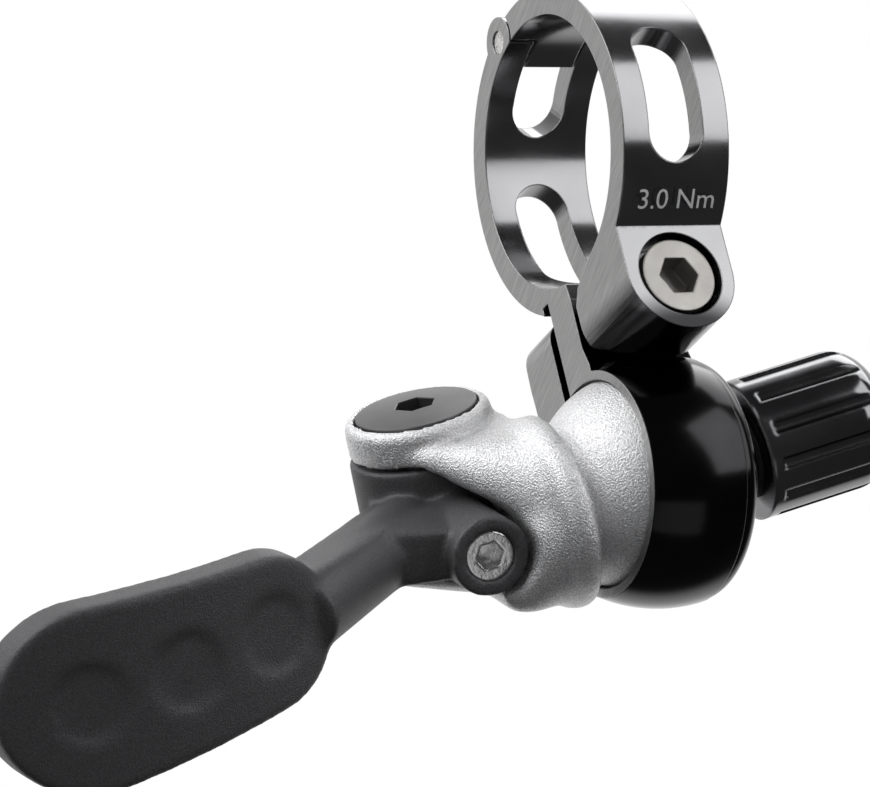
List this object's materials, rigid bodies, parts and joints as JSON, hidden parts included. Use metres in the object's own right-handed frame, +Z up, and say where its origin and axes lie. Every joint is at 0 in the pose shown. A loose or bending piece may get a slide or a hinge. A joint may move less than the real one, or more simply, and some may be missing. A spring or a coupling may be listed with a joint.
{
  "type": "dropper post remote lever",
  "caption": "Thumb lever on a hinged handlebar clamp with a ball joint; pressing it pulls a cable that releases a height-adjustable seatpost.",
  "frame": {"origin": "centre of the handlebar clamp's bore", "axes": "+X along the handlebar, away from the thumb paddle; +Z up; -Y towards the rider"},
  "size_m": [0.0782, 0.0329, 0.0603],
  "materials": {
    "clamp_black": "gloss black anodised",
    "pin_steel": "bright, knurled ends",
    "bolt_steel": "satin plated",
    "housing_silver": "bead blasted, natural silver",
    "cap_dark": "satin dark grey anodised",
    "shim_steel": "ground",
    "sleeve_aluminium": "turned",
    "lever_black": "matt black, fine grained",
    "anchor_chrome": "polished",
    "barrel_black": "gloss black anodised",
    "race_steel": "ground",
    "ball_steel": "polished",
    "cage_nylon": "natural nylon",
    "seal_rubber": "matt"
  },
  "bodies": {
    "clamp": {"clamp_body": "clamp_black", "hinge_pin": "pin_steel"},
    "cap": {"clamp_cap": "clamp_black"},
    "bolt": {"clamp_bolt": "bolt_steel"},
    "housing": {"ball_housing": "housing_silver", "pivot_bolt": "cap_dark", "upper_shim": "shim_steel", "lower_shim": "shim_steel", "bearing_sleeve": "sleeve_aluminium", "upper_bearing_inner_race": "race_steel", "lower_bearing_inner_race": "race_steel", "upper_bearing_balls": "ball_steel", "lower_bearing_balls": "ball_steel", "upper_bearing_cage": "cage_nylon", "lower_bearing_cage": "cage_nylon"},
    "lever": {"lever": "lever_black", "cable_anchor_screw": "anchor_chrome", "upper_bearing_outer_race": "race_steel", "lower_bearing_outer_race": "race_steel", "upper_bearing_seals": "seal_rubber", "lower_bearing_seals": "seal_rubber"},
    "barrel": {"barrel_adjuster": "barrel_black", "barrel_o_ring": "seal_rubber"}
  },
  "joints": [
    {"name": "ball_swivel", "type": "hinge", "parent": "clamp", "child": "housing", "pos_m": [-0.00065, -0.00946, -0.0262], "axis": [1, 0, 0], "range_deg": [-35, 35]},
    {"name": "lever_press", "type": "hinge", "parent": "housing", "child": "lever", "pos_m": [-0.0141, 0.00099, -0.0286], "axis": [0.2706, 0.1289, -0.954], "range_deg": [0, 40], "stiffness_Nm_per_rad": 0.05, "springref_deg": -8.59},
    {"name": "barrel_turn", "type": "hinge", "parent": "housing", "child": "barrel", "pos_m": [0.0128, -0.01087, -0.02258], "axis": [0.9606, -0.101, 0.2588], "continuous": true},
    {"name": "cap_open", "type": "hinge", "parent": "clamp", "child": "cap", "pos_m": [0, 0.00875, 0.00893], "axis": [-1, 0, 0], "range_deg": [0, 2.4]},
    {"name": "bolt_out", "type": "slide", "parent": "clamp", "child": "bolt", "axis": [0, -0.8788, 0.4772], "range_m": [0, 0.00135]}
  ],
  "couplings": [
    {"joint": "cap_open", "follows": "bolt_out", "rad_per_m": 31.028}
  ]
}
